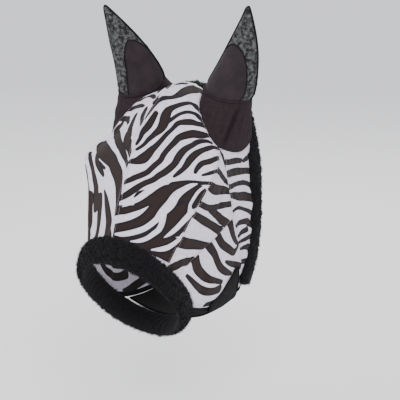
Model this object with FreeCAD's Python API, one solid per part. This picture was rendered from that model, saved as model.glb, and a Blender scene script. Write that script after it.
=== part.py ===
"""Fly mask with ear covers, as separate sewn pieces.

Frame: +Z up, the horse faces -Y and its left side is +X. The origin is on the mask's
centre line at the poll, between the two ears, where the mask hangs on the head.
All lengths are in millimetres.

Every seam is a curve given by a few control points. A panel is stretched between two
seams, so panels that are sewn together share their edge exactly.
"""
import FreeCAD, Part
import os
from math import cos, radians, sin, tan

V = FreeCAD.Vector

# ---------------------------------------------------------------- driving dimensions
FABRIC = 1.2              # mesh panel thickness
TAPE = 0.8                # seam tape thickness
TAPE_HALF = 6.0           # half the width of a seam tape
SEWN_GAP = 0.4            # gap between a panel and the tape behind it
FACE_CROWN = 7.0          # how far a face panel stands out between its seams
EYE_CROWN = -4.0          # the eye panel is drawn in between the ridge and the cheek
CHEEK_CROWN = 8.0
JOWL_CROWN = 3.0

NOSE_HALF_WIDTH = 86.0    # nose opening, middle of the roll
NOSE_DEPTH = 215.0        # front to back along its slope
NOSE_SLOPE = 50.0         # degrees below level
NOSE_FRONT = V(0, -196, -244)
ROLL_LEAN = V(0, 0.60, 0.78)      # the roll's section stands along the head, on average,
ROLL_TURN = V(0, -0.20, 0.16)     # and turns this much between its front and its sides
ROLL_OUTWARD = V(0, 0.85, -0.50)  # away from the nose at the back of the roll
SEWN_IN = 13.0            # the mesh is sewn into the roll this far above its middle
RIDGE_FOOT = 63.0         # degrees round the roll from the front to the foot of the eye seam
FOLD_FOOT = 76.0
JAW_FOOT = 121.0
ROLL_HALF_WIDTH = 21.0    # the fleece roll's half width along the head
ROLL_OUT = 15.0           # control height of the pile outside
ROLL_IN = 9.0             # control height of the lining inside

TRIM_HALF_WIDTH = 17.0    # rear fleece trim
TRIM_LAP = 3.0            # how far the trim laps over the panel edge
TRIM_OUT = 14.0           # control height of the pile outside
TRIM_IN = 5.0             # and of the backing inside
TRIM_LEVEL = V(100, 200, 240)     # sideways reach, depth and height that turn the trim outwards

BINDING_HALF = 4.5        # bound jaw edges
BINDING_OUT = 2.4

EAR_CENTRE = V(74, 42, -52)       # middle of the left ear opening
EAR_AXIS = V(0.23, -0.13, 0.965)  # a left ear cover in its neutral pose points this way
EAR_FORWARD = V(0.05, -1.0, 0)    # and its front panel faces this way
EAR_RIM_RADIUS = 40.0             # round root of the ear cover
EAR_RIM_HEIGHT = 38.0             # the root's height over the opening's middle
EAR_RIM_GAP = 1.6                 # running gap between the ear cover and its gusset
EAR_HEIGHTS = (0, 9, 24, 56, 90, 122, 144, 156)
EAR_HALF_WIDTHS = (40, 43, 41, 34, 26, 15, 7, 2.5)
EAR_HALF_DEPTHS = (40, 34, 27, 21, 15, 9, 5, 2.5)
EAR_SWAY = {"left": (0, 4, 8, 13, 16, 16, 14, 13), "right": (0, -2, -4, -4, 0, 4, 8, 10)}
EAR_SHIFT = {"left": V(0, 0, 0), "right": V(3, 0, 2)}    # and its root stands further out and up
EAR_TURN = {"left": 0.0, "right": -20.0}    # degrees that it faces inwards at rest
EAR_PITCH = {"left": 0.0, "right": 17.0}    # degrees that it stands further forward
EAR_TILT = {"left": 0.0, "right": -7.0}     # degrees that it stands further out
EAR_FABRIC = 1.0
EAR_BINDING_HALF = 2.5
EAR_BINDING_GAP = 0.3
GUSSET_CORNERS = (35, 180, 280, 385, 395)   # degrees round the root where the opening's edges meet it

FLAP_FABRIC = 1.6
HOOK = 1.2                # hook strip thickness, and the loop strip's
LAYER_GAP = 0.8           # gap between the layers of the closure
FLAP_SAG = 20.0           # the flap hangs this far below the jaw edges
FLAP_NEAR_DROP = 6.0      # its drop beside the left jaw edge
FLAP_FAR_DROP = 5.0       # and beside the right one
FLAP_HINGE_DROP = 2.0     # and where it is sewn on
FLAP_SPREAD = 0.45        # how far out its flat underside reaches, as part of the jaw's half width
FLAP_FAR_SPREAD = 0.9
STRIP_BELOW = 0.3         # clearance of the loop strip over the cheek
STRIP_END = 0.955         # lower edge of the strips, as part of the cheek panel's height
FLAP_LAP_END = 0.98       # where the flap leaves the cheek
FLAP_MARGIN = 0.02        # the flap reaches this much above its strips
STRIP_U = (0.26, 0.38, 0.51, 0.64, 0.77, 0.88)      # stations along the jaw
STRIP_TOP = (0.90, 0.82, 0.73, 0.65, 0.60, 0.58)   # upper edge of the strips at each station

# Head axis, used to say which way is inwards.
AXIS_TOP = V(0, 30, -90)
AXIS_NOSE = V(0, -105, -330)

# ---------------------------------------------------------------- seam curves, left side
# The curves that start at the nose roll get their first point from the roll.
CENTRE_LOW = [(0, -189, -218), (0, -181, -196), (0, -168, -168), (0, -158, -146)]
CENTRE_EYE = [(0, -158, -146), (0, -149, -126), (0, -140, -106), (0, -127, -84), (0, -108, -60)]
CENTRE_POLL = [(0, -108, -60), (0, -84, -36), (0, -40, -8), (0, 24, 5), (0, 82, -20)]

RIDGE_LOW = [(86, -135, -244), (94, -125, -222), (102, -111, -193), (110, -99, -172)]
RIDGE_EYE = [(110, -99, -172), (118, -91, -152), (129, -89, -129), (129, -66, -111), (106, -31, -94)]

FOLD_LOW = [(90, -82, -270), (97, -52, -256), (103, -22, -243), (109, 13, -222)]
FOLD_EYE = [(109, 13, -222), (112, 0, -190), (114, -12, -162), (115, -24, -130), (110, -22, -98)]

JOWL_SEAM = [(72, 98, -376), (84, 88, -340), (94, 66, -304), (103, 40, -264), (109, 13, -222)]

JAW_EDGE = [(80, -36, -378), (77, 18, -384), (74, 62, -382), (72, 98, -376)]

REAR_LOW = [(78, 112, -366), (88, 118, -332), (95, 116, -295), (100, 112, -250), (101, 110, -220)]
REAR_HIGH = [(101, 110, -220), (101, 110, -190), (99, 112, -155), (92, 115, -117), (82, 118, -84)]

EAR_FRONT_EDGE = [(106, -31, -94), (97, -38, -84), (80, -38, -57), (43, -6, -14), (30, 80, -26)]
EAR_REAR_EDGE = [(82, 118, -84), (74, 122, -62), (60, 116, -42), (44, 100, -32), (30, 80, -26)]
EAR_LOW_EDGE = [(110, -22, -98), (112, 16, -114), (108, 58, -114), (98, 100, -100), (82, 118, -84)]

ROOT = "parts"


def vectors(points):
    """Turn a list of coordinate triples into vectors."""
    return [V(*point) for point in points]


def lerp(a, b, t):
    """The point a fraction t of the way from a to b."""
    return a + (b - a) * t


def spread(a, b):
    """Four evenly spaced points or numbers from a to b."""
    return [a + (b - a) * (i / 3) for i in range(4)]


def unit(v):
    """A copy of v with length 1."""
    return V(v).normalize()


def inward(point):
    """Unit vector from a point on the mask towards the head's axis."""
    along = AXIS_NOSE - AXIS_TOP
    t = (point - AXIS_TOP).dot(along) / along.dot(along)
    t = min(1.0, max(0.0, t))
    return unit(AXIS_TOP + along * t - point)


def offset_net(net, depth, direction=inward):
    """Move every control point of a net by depth along its own direction."""
    return [[point + direction(point) * depth for point in row] for row in net]


def mirrored(net):
    """The same net on the other side of the mask."""
    return [[V(-point.x, point.y, point.z) for point in row] for row in net]


# ---------------------------------------------------------------- surfaces and solids
def clamped(count):
    """Knots and multiplicities of a clamped uniform cubic with this many control points."""
    spans = count - 3
    knots = [i / spans for i in range(spans + 1)]
    return knots, [4] + [1] * (spans - 1) + [4]


def surface(net):
    """Cubic surface over a net of control points."""
    row_knots, row_mults = clamped(len(net))
    col_knots, col_mults = clamped(len(net[0]))
    patch = Part.BSplineSurface()
    patch.buildFromPolesMultsKnots(net, row_mults, col_mults, row_knots, col_knots, False, False, 3, 3)
    return patch


def curve(points):
    """Cubic curve over a list of control points, as an edge."""
    knots, mults = clamped(len(points))
    line = Part.BSplineCurve()
    line.buildFromPolesMultsKnots(points, mults, knots, False, 3)
    return line.toShape()


def apart(first, second):
    """Whether two lists of control points differ."""
    return any((a - b).Length > 1e-6 for a, b in zip(first, second))


def blocks(net, step):
    """Cut a net into pieces that share their end rows."""
    return [net[i:i + step + 1] for i in range(0, len(net) - 1, step)]


def column(net, index):
    """One column of a net."""
    return [row[index] for row in net]


def end_face(first, second):
    """Close the gap between two end curves. Curves that meet at their ends lie in a plane."""
    if apart([first[0], first[-1]], [second[0], second[-1]]):
        return Part.makeRuledSurface(curve(first), curve(second))
    return Part.Face(Part.Wire([curve(first), curve(second)]))


def solid_between(outer, inner, step, closed=False):
    """Closed solid between two nets of control points with the same number of rows.

    The nets are cut into pieces of step rows. A closed net runs round a ring.
    """
    faces = []
    for out_part, in_part in zip(blocks(outer, step), blocks(inner, step)):
        faces.append(surface(out_part).toShape())
        faces.append(surface(in_part).toShape())
        for index in (0, -1):
            first, second = column(out_part, index), column(in_part, index)
            if apart(first, second):
                faces.append(Part.makeRuledSurface(curve(first), curve(second)))
    if not closed:
        for index in (0, -1):
            if apart(outer[index], inner[index]):
                faces.append(end_face(outer[index], inner[index]))
    shell = Part.makeShell(faces)
    shell.sewShape()
    solid = Part.makeSolid(shell)
    if solid.Volume < 0:
        solid.reverse()
    return solid


def export(name, *solids):
    """Write one node and say what it holds."""
    shape = solids[0] if len(solids) == 1 else Part.makeCompound(list(solids))
    shape.exportStep(f"{ROOT}/{name}.step")
    box = shape.BoundBox
    size = f"{box.XLength:.0f} x {box.YLength:.0f} x {box.ZLength:.0f}"
    print(f"{name:26s} valid {shape.isValid()} volume {shape.Volume / 1000:8.2f} cm3  size {size}")


def both_sides(name, outer, inner, step, closed=False):
    """Write the left piece and its mirror image."""
    export(f"{name}_left", solid_between(outer, inner, step, closed))
    export(f"{name}_right", solid_between(mirrored(outer), mirrored(inner), step, closed))


# ---------------------------------------------------------------- nose roll
def nose_frame(out, along):
    """Middle of the roll's ring, and its half depth and half width as vectors."""
    slope = radians(NOSE_SLOPE)
    back = V(0, cos(slope), -sin(slope)) * (NOSE_DEPTH / 2)
    middle = NOSE_FRONT + back + ROLL_LEAN * along
    half_depth = back + ROLL_OUTWARD * out - ROLL_TURN * along
    half_width = V(NOSE_HALF_WIDTH + out, 0, 0)
    return middle, half_depth, half_width


def nose_point(degrees, out=0.0, along=0.0, pull=0.0):
    """Point on the ring, counted from the front. pull moves it along the ring's tangent."""
    middle, half_depth, half_width = nose_frame(out, along)
    a = radians(degrees)
    point = middle - half_depth * cos(a) + half_width * sin(a)
    return point + (half_depth * sin(a) + half_width * cos(a)) * pull


def nose_arc(start, end, out=0.0, along=0.0):
    """Four control points of an arc of the ring."""
    handle = 4 / 3 * tan(radians(end - start) / 4)
    return [nose_point(start, out, along), nose_point(start, out, along, handle),
            nose_point(end, out, along, -handle), nose_point(end, out, along)]


def ring_net(offsets):
    """Net round the nose from a list of (outwards, along) offsets of its section."""
    rings = []
    for out, along in offsets:
        ring = [nose_point(0, out, along)]
        for quarter in range(4):
            ring += nose_arc(90 * quarter, 90 * (quarter + 1), out, along)[1:]
        rings.append(ring)
    return [list(row) for row in zip(*rings)]


def make_nose_roll():
    """Fleece outside and lining inside, with the mesh edge sewn between them."""
    w = ROLL_HALF_WIDTH
    middle = ring_net([(0, -w), (0, -w / 3), (0, w / 3), (0, w)])
    outside = ring_net([(0, -w), (ROLL_OUT, -w), (ROLL_OUT, w), (0, w)])
    inside = ring_net([(0, -w), (-ROLL_IN, -w), (-ROLL_IN, w), (0, w)])
    export("nose_fleece", solid_between(outside, middle, 3, closed=True))
    export("nose_lining", solid_between(middle, inside, 3, closed=True))


# ---------------------------------------------------------------- panels
def joined(*curves):
    """Seam curves end to end, as one list of control points."""
    points = vectors(curves[0])
    for extra in curves[1:]:
        points += vectors(extra)[1:]
    return points


def stretched(first, second, crown):
    """Net between two seams, four columns wide, standing out by crown in the middle."""
    net = []
    for a, b in zip(first, second):
        row = spread(a, b)
        row[1:3] = [point - inward(point) * crown for point in row[1:3]]
        net.append(row)
    return net


def four_sided(low, high, left, right, crown):
    """Net spanned by four edges, five control points each way."""
    net = []
    last = len(left) - 1
    for i in range(last + 1):
        v = i / last
        row = []
        for j in range(last + 1):
            u = j / last
            across = lerp(left[i], right[i], u)
            along = lerp(low[j], high[j], v)
            corners = lerp(lerp(low[0], low[-1], u), lerp(high[0], high[-1], u), v)
            point = across + along - corners
            bulge = 16 * u * (1 - u) * v * (1 - v) * crown
            row.append(point - inward(point) * bulge)
        net.append(row)
    return net


def finer(points):
    """The same cubic arc with five control points in place of four."""
    a, b, c, d = points
    return [a, lerp(a, b, 0.5), lerp(b, c, 0.5), lerp(c, d, 0.5), d]


CENTRE = [nose_point(0, 0, SEWN_IN)] + joined(CENTRE_LOW, CENTRE_EYE, CENTRE_POLL)
RIDGE = [nose_point(RIDGE_FOOT, 0, SEWN_IN)] + joined(RIDGE_LOW, RIDGE_EYE)
FACE_EDGE = RIDGE + joined(EAR_FRONT_EDGE)[1:]
FOLD = [nose_point(FOLD_FOOT, 0, SEWN_IN)] + joined(FOLD_LOW, FOLD_EYE)
JAW = [nose_point(JAW_FOOT, 0, SEWN_IN)] + vectors(JAW_EDGE)
REAR = joined(REAR_LOW, REAR_HIGH)

FACE_NET = stretched(CENTRE, FACE_EDGE, FACE_CROWN)
FACE_NET[0] = nose_arc(0, RIDGE_FOOT, 0, SEWN_IN)
EYE_NET = stretched(RIDGE, FOLD, EYE_CROWN)
EYE_NET[0] = nose_arc(RIDGE_FOOT, FOLD_FOOT, 0, SEWN_IN)
JOWL_NET = stretched(joined(JOWL_SEAM, FOLD_EYE), REAR, JOWL_CROWN)
CHEEK_NET = four_sided(FOLD[:5], JAW, finer(nose_arc(FOLD_FOOT, JAW_FOOT, 0, SEWN_IN)),
                       list(reversed(vectors(JOWL_SEAM))), CHEEK_CROWN)


def make_panels():
    """Mesh panels: face, eye, cheek and jowl on each side."""
    low_edge = vectors(EAR_LOW_EDGE)
    jowl = JOWL_NET[:-1] + [low_edge[:2] + low_edge[3:]]
    for name, net in (("face_panel", FACE_NET), ("eye_panel", EYE_NET),
                      ("cheek_panel", CHEEK_NET), ("jowl_panel", jowl)):
        both_sides(name, net, offset_net(net, FABRIC), 4)


def tape_net(line, toward_a, toward_b):
    """Net of a tape along a seam, with a doubled middle so that it follows the seam."""
    net = []
    for p, a, b in zip(line, toward_a, toward_b):
        net.append([p + unit(a - p) * TAPE_HALF, p, p, p + unit(b - p) * TAPE_HALF])
    return net


def make_seam_tapes():
    """Tapes sewn behind the centre, ridge and fold seams."""
    behind = FABRIC + SEWN_GAP
    left = column(FACE_NET, 1)
    right = column(mirrored(FACE_NET), 1)
    centre = tape_net(CENTRE, left, right)
    export("centre_seam_tape",
           solid_between(offset_net(centre, behind), offset_net(centre, behind + TAPE), 4))
    ridge = tape_net(RIDGE, column(FACE_NET, 2), column(EYE_NET, 1))
    both_sides("eye_seam_tape", offset_net(ridge, behind), offset_net(ridge, behind + TAPE), 4)
    fold = tape_net(FOLD[:5], column(EYE_NET, 2)[:5], CHEEK_NET[1])
    both_sides("cheek_seam_tape", offset_net(fold, behind), offset_net(fold, behind + TAPE), 4)


# ---------------------------------------------------------------- rear trim and bindings
def band_nets(path, outwards, half_width, height_out, height_in, shift=0.0):
    """Outer and inner nets of a soft band along a path. shift moves it sideways."""
    outer, inner = [], []
    for i, point in enumerate(path):
        before, after = path[max(0, i - 1)], path[min(len(path) - 1, i + 1)]
        tangent = unit(after - before)
        out = outwards(point)
        side = unit(tangent.cross(out))
        out = unit(side.cross(tangent))
        a = point + side * (shift - half_width)
        b = point + side * (shift + half_width)
        outer.append([a, a + out * height_out, b + out * height_out, b])
        inner.append([a, a - out * height_in, b - out * height_in, b])
    return outer, inner


def from_trim_middle(point):
    """Outward direction of the rear trim: sideways at the cheek, up at the poll."""
    return unit(V(point.x / TRIM_LEVEL.x, 0, (point.z + TRIM_LEVEL.y) / TRIM_LEVEL.z))


def make_rear_trim():
    """Fleece trim from the throat up behind the cheek and ear to the middle of the poll."""
    poll = V(*CENTRE_POLL[-1])
    behind_ear = vectors(EAR_REAR_EDGE)[1:]
    path = REAR + behind_ear + [lerp(behind_ear[-1], poll, 0.5), poll]
    shift = TRIM_HALF_WIDTH - TRIM_LAP
    outer, inner = band_nets(path, from_trim_middle, TRIM_HALF_WIDTH, TRIM_OUT, TRIM_IN, -shift)
    for point in outer[-1] + inner[-1]:
        point.x = 0
    both_sides("rear_trim", outer, inner, len(path) - 1)


def make_jaw_bindings():
    """Bound lower edges of the cheek panels."""
    def outwards(_):
        return unit(V(1, 0, -0.25))

    outer, inner = band_nets(JAW, outwards, BINDING_HALF, BINDING_OUT, BINDING_OUT + FABRIC)
    both_sides("jaw_binding", outer, inner, 4)


# ---------------------------------------------------------------- ear covers
def arc_points(centre, side, front, width, depth):
    """Five control points of half an ellipse, from -side round by front to +side."""
    handle = 4 / 3 * tan(radians(90) / 4)
    top = 2 - handle
    return [centre - side * width,
            centre - side * width + front * (depth * handle),
            centre + front * (depth * top),
            centre + side * width + front * (depth * handle),
            centre + side * width]


def ear_frame(hand):
    """Axis, sideways and forward directions of an ear cover, drawn on the left side."""
    axis = unit(EAR_AXIS)
    forward = FreeCAD.Rotation(axis, EAR_TURN[hand]).multVec(EAR_FORWARD)
    side = unit(axis.cross(forward))
    return axis, side, unit(side.cross(axis))


def ear_sections(hand):
    """Middle, half width and half depth of an ear cover at each height."""
    axis, side, _ = ear_frame(hand)
    rows = zip(EAR_HEIGHTS, EAR_SWAY[hand], EAR_HALF_WIDTHS, EAR_HALF_DEPTHS)
    return [(EAR_CENTRE + axis * (EAR_RIM_HEIGHT + height) + side * sway, width, depth)
            for height, sway, width, depth in rows]


def ear_net(hand, facing):
    """Net of half an ear cover. facing is 1 for the front and -1 for the back."""
    _, side, front = ear_frame(hand)
    return [arc_points(middle, side, front * facing, width, depth)
            for middle, width, depth in ear_sections(hand)]


def inside_ear(hand, facing):
    """The same half, thinner by the cloth on every side."""
    _, side, front = ear_frame(hand)
    return [arc_points(middle, side, front * facing, width - EAR_FABRIC, depth - EAR_FABRIC)
            for middle, width, depth in ear_sections(hand)]


def ear_binding_nets(hand):
    """Narrow binding up the inner edge, over the tip and down the outer edge."""
    axis, side, front = ear_frame(hand)
    sections = ear_sections(hand)
    edge = [(middle - side * width, side * -1) for middle, width, _ in sections]
    edge.append((sections[-1][0] + axis * 2, axis))
    edge += [(middle + side * width, side) for middle, width, _ in reversed(sections)]
    across = spread(front * -EAR_BINDING_HALF, front * EAR_BINDING_HALF)
    outer, inner = [], []
    for point, out in edge:
        inner.append([point + out * EAR_BINDING_GAP + step for step in across])
        outer.append([point + out * (EAR_BINDING_GAP + EAR_FABRIC) + step for step in across])
    return outer, inner


def posed(net, hand):
    """Net of the left ear cover brought to an ear's rest pose, on that ear's own side."""
    turn = FreeCAD.Rotation(V(0, 1, 0), EAR_TILT[hand]) * FreeCAD.Rotation(V(1, 0, 0), EAR_PITCH[hand])
    middle = EAR_CENTRE + EAR_SHIFT[hand]
    moved = [[middle + turn.multVec(point - EAR_CENTRE) for point in row] for row in net]
    return moved if hand == "left" else mirrored(moved)


def rim_arc(start, end):
    """Five control points of an arc of the gusset's round top."""
    axis, side, front = ear_frame("left")
    rim = EAR_CENTRE + axis * EAR_RIM_HEIGHT
    radius = EAR_RIM_RADIUS + EAR_RIM_GAP
    handle = 4 / 3 * tan(radians(end - start) / 4)

    def on_rim(degrees, pull=0.0):
        a = radians(degrees)
        outwards = side * cos(a) + front * sin(a)
        onwards = front * cos(a) - side * sin(a)
        return rim + (outwards + onwards * pull) * radius

    return finer([on_rim(start), on_rim(start, handle), on_rim(end, -handle), on_rim(end)])


def gusset_net(hand):
    """Net from the ear opening's edge to the ear cover's round root."""
    front_edge, rear_edge, low_edge = map(vectors, (EAR_FRONT_EDGE, EAR_REAR_EDGE, EAR_LOW_EDGE))
    bridge = [lerp(low_edge[0], front_edge[0], i / 4) for i in range(5)]
    edges = (front_edge, rear_edge[::-1], low_edge[::-1], bridge)
    net = []
    for edge, start, end in zip(edges, GUSSET_CORNERS, GUSSET_CORNERS[1:]):
        foot = [edge] if hand == "left" else mirrored([edge])
        rim = posed([rim_arc(start, end)], hand)
        rows = [spread(a, b) for a, b in zip(foot[0], rim[0])]
        net += rows if not net else rows[1:]
    net[-1] = net[0]
    return net


def make_ear_covers():
    """Gusset, front panel, back panel and edge binding of both ears."""
    for hand in ("left", "right"):
        for name, facing in (("front", 1), ("back", -1)):
            outer, inner = ear_net(hand, facing), inside_ear(hand, facing)
            solid = solid_between(posed(outer, hand), posed(inner, hand), len(outer) - 1)
            export(f"ear_{name}_{hand}", solid)
        outer, inner = ear_binding_nets(hand)
        solid = solid_between(posed(outer, hand), posed(inner, hand), len(EAR_HEIGHTS))
        export(f"ear_binding_{hand}", solid)
        outer = gusset_net(hand)
        export(f"ear_gusset_{hand}", solid_between(outer, offset_net(outer, FABRIC), 4, closed=True))


# ---------------------------------------------------------------- throat closure
def above_cheek(u, v, height):
    """Point at a height over the left cheek panel. u runs back along the jaw, v down to it."""
    patch = surface(CHEEK_NET)
    point = patch.value(v, u)
    normal = patch.normal(v, u)
    if normal.x < 0:
        normal = normal * -1
    return point + normal * height


def cheek_strip(height, thickness):
    """Solid of a strip of tape that follows the left cheek at a height over it."""
    def layer(level):
        return [[above_cheek(u, v, level) for v in spread(top, STRIP_END)]
                for u, top in zip(STRIP_U, STRIP_TOP)]

    return solid_between(layer(height + thickness), layer(height), len(STRIP_U) - 1)


def flap_net(height):
    """Net of the flap: lapped over the left cheek, then slung under the jaw to the right."""
    net = []
    for u, top in zip(STRIP_U, STRIP_TOP):
        lap = [above_cheek(u, v, height) for v in spread(top - FLAP_MARGIN, FLAP_LAP_END)]
        edge = above_cheek(u, 1.0, 0)
        slung = ((1.0, FLAP_NEAR_DROP), (FLAP_SPREAD, FLAP_SAG), (-FLAP_SPREAD, FLAP_SAG),
                 (-FLAP_FAR_SPREAD, FLAP_FAR_DROP), (-1.0, FLAP_HINGE_DROP))
        under = [V(edge.x * reach, edge.y, edge.z - drop - height) for reach, drop in slung]
        net.append(lap + under)
    return net


def make_closure():
    """Loop strip on the left cheek, and the flap from the right with its hook strip."""
    hook_height = STRIP_BELOW + HOOK + LAYER_GAP
    flap_height = hook_height + HOOK + STRIP_BELOW
    export("loop_strip", cheek_strip(STRIP_BELOW, HOOK))
    export("hook_strip", cheek_strip(hook_height, HOOK))
    outer, inner = flap_net(flap_height + FLAP_FABRIC), flap_net(flap_height)
    export("closure_flap", solid_between(outer, inner, len(STRIP_U) - 1))


def main():
    """Build every piece of the mask."""
    os.makedirs(ROOT, exist_ok=True)
    make_panels()
    make_seam_tapes()
    make_nose_roll()
    make_rear_trim()
    make_jaw_bindings()
    make_ear_covers()
    make_closure()


main()
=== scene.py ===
"""Looks of a zebra-print horse fly mask with ear covers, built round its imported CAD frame.

The sheets and rolls follow the same seam curves as the CAD part. Shapes are worked out in
millimetres and turned into metres when a mesh is made. +Z is up and the horse faces -Y.
"""
import math

import bpy
import bmesh
import numpy as np
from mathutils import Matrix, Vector


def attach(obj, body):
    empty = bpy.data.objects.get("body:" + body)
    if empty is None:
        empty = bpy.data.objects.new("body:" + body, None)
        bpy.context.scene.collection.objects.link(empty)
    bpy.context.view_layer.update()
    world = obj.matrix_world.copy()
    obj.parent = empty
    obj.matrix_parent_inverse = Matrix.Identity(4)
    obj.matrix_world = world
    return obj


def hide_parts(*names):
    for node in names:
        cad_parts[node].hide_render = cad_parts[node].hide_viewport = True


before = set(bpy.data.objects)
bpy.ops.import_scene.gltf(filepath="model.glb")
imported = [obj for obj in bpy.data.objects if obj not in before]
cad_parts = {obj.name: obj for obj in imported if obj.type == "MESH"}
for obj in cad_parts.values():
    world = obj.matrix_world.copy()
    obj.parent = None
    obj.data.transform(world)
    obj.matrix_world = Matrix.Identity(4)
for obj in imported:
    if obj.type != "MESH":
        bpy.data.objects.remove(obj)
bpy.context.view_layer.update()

MM = 0.001
FABRIC = 1.2              # mesh panel thickness
SHEET_PITCH = 2.0         # spacing of a panel's mesh points
PILE_PITCH = 2.4          # and of the fleece's
TAPE_PITCH = 2.0
BINDING_PITCH = 1.2
EAR_SKIN_PITCH = 1.8
SKIRT_PITCH = 2.2
STRIP_PITCH = 1.3
FLAP_PITCH = 2.0
CLOTH_PITCH = 5.0         # and of the simulated cloth
CLOTH_FRAMES = 24
CLOTH_SLACK = -0.012      # negative shrinkage leaves the cloth a little loose between its seams
MOST_SAG = 3.5
SAG_FADE = 14             # the sag fades out this near a seam
ATTRIBUTE_UNIT = 10.0     # stripe distances are stored in units of 10 mm

# Outline of the dark leaf on an ear's front, from its inner edge over the top and down: (u across, t up).
LEAF_RISE = ((0, .42), (.08, .51), (.22, .59), (.38, .62))
LEAF_FALL = ((.38, .62), (.56, .58), (.70, .47), (.77, .31), (.80, .15), (.80, 0))
LEAF_SPREAD = {"left": 1.0, "right": 0.78}            # the right ear's leaf is narrower
LEAF_POINTS = 60          # points along each side of the leaf
STROKE_SWELL = {"face": 1.8, "eye": 2.6, "cheek": 2.8, "jowl": 3.0}   # mm of ink spread added to a stroke
PILE_CLUMP, PILE_DEPTH = 9.0, 1.3                     # width and height of a clump of pile
NOSE_TUFTS, NOSE_TUFT_LENGTH, NOSE_SEED = 15000, 4.8, 11
TRIM_TUFTS, TRIM_TUFT_LENGTH, TRIM_SEED = 11000, 3.4, 21
TRIM_HALF_WIDTH, TRIM_OUT, TRIM_IN, TRIM_SHIFT = 17, 14, 5, -14
BINDING_HALF, BINDING_OUT, BINDING_IN = 4.5, 2.4, 3.6
TAPE_HALF, TAPE_FRONT, TAPE_BACK = 6, 2.5, 3.2        # half width, and its two faces' depth behind the mesh
STITCH_INSET, REAR_STITCH_INSET = 3, 4.5              # stitches' distance from a seam, and from the rear edge
PUCKER, PUCKER_PITCH = 0.5, 7                         # puckers beside a seam, height and spacing
SOFT_FOLD, FOLD_WAVE, SEAM_CREASE = 0.7, 55, 0.9      # folds between seams, and the crease at one
GATHER_DEPTH, FLAP_PUFF, QUILT, QUILT_PITCH = .8, .8, .5, 12
EAR_CREASE, EAR_FINE_CREASE = 1.1, .5
SEAM_POINTS = 220         # points along a row of stitches
ROD_SIDES = 8
EAR_PATH_POINTS = 260     # points along an ear's edge
EAR_EDGE_RADIUS, EAR_ROOT_RADIUS, LEAF_SEAM_RADIUS, FLAP_EDGE_RADIUS = 2.5, 2.4, 1.1, 1.7
EAR_EDGE_START = 2        # path points by which an ear's edge stands clear of its skirt at each end
GATHERS = 26              # gathers round an ear's skirt

# ---------------------------------------------------------------- seam curves, left side
AXIS_TOP = np.array((0.0, 30, -90))
AXIS_NOSE = np.array((0.0, -105, -330))
NOSE_HALF_WIDTH = 86.0
NOSE_DEPTH = 215.0
NOSE_SLOPE = math.radians(50)
NOSE_FRONT = np.array((0.0, -196, -244))
ROLL_LEAN = np.array((0.0, 0.60, 0.78))
ROLL_TURN = np.array((0.0, -0.20, 0.16))
ROLL_OUTWARD = np.array((0.0, 0.85, -0.50))
SEWN_IN = 13.0
RIDGE_FOOT, FOLD_FOOT, JAW_FOOT = 63.0, 76.0, 121.0
ROLL_HALF_WIDTH, ROLL_OUT, ROLL_IN = 21.0, 15.0, 9.0

CENTRE_LOW = [(0, -189, -218), (0, -181, -196), (0, -168, -168), (0, -158, -146)]
CENTRE_EYE = [(0, -158, -146), (0, -149, -126), (0, -140, -106), (0, -127, -84), (0, -108, -60)]
CENTRE_POLL = [(0, -108, -60), (0, -84, -36), (0, -40, -8), (0, 24, 5), (0, 82, -20)]
RIDGE_LOW = [(86, -135, -244), (94, -125, -222), (102, -111, -193), (110, -99, -172)]
RIDGE_EYE = [(110, -99, -172), (118, -91, -152), (129, -89, -129), (129, -66, -111), (106, -31, -94)]
FOLD_LOW = [(90, -82, -270), (97, -52, -256), (103, -22, -243), (109, 13, -222)]
FOLD_EYE = [(109, 13, -222), (112, 0, -190), (114, -12, -162), (115, -24, -130), (110, -22, -98)]
JOWL_SEAM = [(72, 98, -376), (84, 88, -340), (94, 66, -304), (103, 40, -264), (109, 13, -222)]
JAW_EDGE = [(80, -36, -378), (77, 18, -384), (74, 62, -382), (72, 98, -376)]
REAR_LOW = [(78, 112, -366), (88, 118, -332), (95, 116, -295), (100, 112, -250), (101, 110, -220)]
REAR_HIGH = [(101, 110, -220), (101, 110, -190), (99, 112, -155), (92, 115, -117), (82, 118, -84)]
EAR_FRONT_EDGE = [(106, -31, -94), (97, -38, -84), (80, -38, -57), (43, -6, -14), (30, 80, -26)]
EAR_REAR_EDGE = [(82, 118, -84), (74, 122, -62), (60, 116, -42), (44, 100, -32), (30, 80, -26)]
EAR_LOW_EDGE = [(110, -22, -98), (112, 16, -114), (108, 58, -114), (98, 100, -100), (82, 118, -84)]

# ---------------------------------------------------------------- ears and closure
EAR_CENTRE = np.array((74.0, 42, -52))
EAR_AXIS = np.array((0.23, -0.13, 0.965))
EAR_FORWARD = np.array((0.05, -1.0, 0))
EAR_RIM_RADIUS, EAR_RIM_HEIGHT, EAR_RIM_GAP = 40.0, 38.0, 1.6
EAR_HEIGHTS = (0, 9, 24, 56, 90, 122, 144, 156)
EAR_HALF_WIDTHS = (40, 43, 41, 34, 26, 15, 7, 2.5)
EAR_HALF_DEPTHS = (40, 34, 27, 21, 15, 9, 5, 2.5)
EAR_SWAY = {"left": (0, 4, 8, 13, 16, 16, 14, 13), "right": (0, -2, -4, -4, 0, 4, 8, 10)}
EAR_SHIFT = {"left": np.zeros(3), "right": np.array((3.0, 0, 2))}
EAR_TURN = {"left": 0.0, "right": -20.0}
EAR_PITCH = {"left": 0.0, "right": 17.0}
EAR_TILT = {"left": 0.0, "right": -7.0}
EAR_FABRIC = 1.0
GUSSET_CORNERS = (35, 180, 280, 385, 395)
STRIP_U = (0.26, 0.38, 0.51, 0.64, 0.77, 0.88)
STRIP_TOP = (0.90, 0.82, 0.73, 0.65, 0.60, 0.58)
FLAP_SLUNG = ((1.0, 6.0), (0.45, 20.0), (-0.45, 20.0), (-0.9, 5.0), (-1.0, 2.0))
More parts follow.
